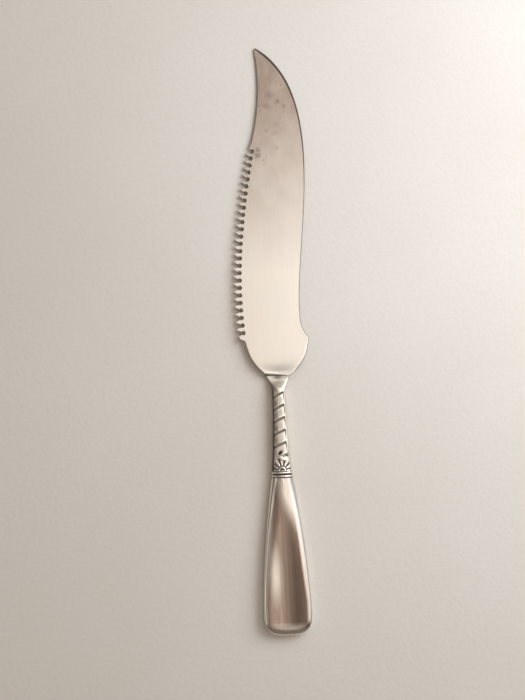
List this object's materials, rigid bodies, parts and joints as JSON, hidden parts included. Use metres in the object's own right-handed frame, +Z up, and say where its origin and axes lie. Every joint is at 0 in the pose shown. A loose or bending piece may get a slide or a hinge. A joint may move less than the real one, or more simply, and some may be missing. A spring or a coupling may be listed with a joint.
{
  "type": "fish knife",
  "caption": "Silver serving fish knife with a curved saw-toothed blade, a twisted stem, a palmette collar with ring mouldings and a flared hollow handle.",
  "frame": {"origin": "on the table, below the middle of the knife's box", "axes": "+Y from the handle to the point of the blade, -X toward the teeth, +Z up out of the front face"},
  "size_m": [0.0332, 0.26, 0.0065],
  "materials": {
    "blade_silver": "satin",
    "stem_silver": "satin",
    "handle_silver": "satin",
    "cement": "matte"
  },
  "bodies": {
    "root": {"blade": "blade_silver", "shank": "stem_silver", "palmette_collar": "stem_silver", "upper_ring": "stem_silver", "lower_ring": "stem_silver", "handle_front_shell": "handle_silver", "handle_back_shell": "handle_silver", "handle_filling": "cement"}
  },
  "joints": []
}
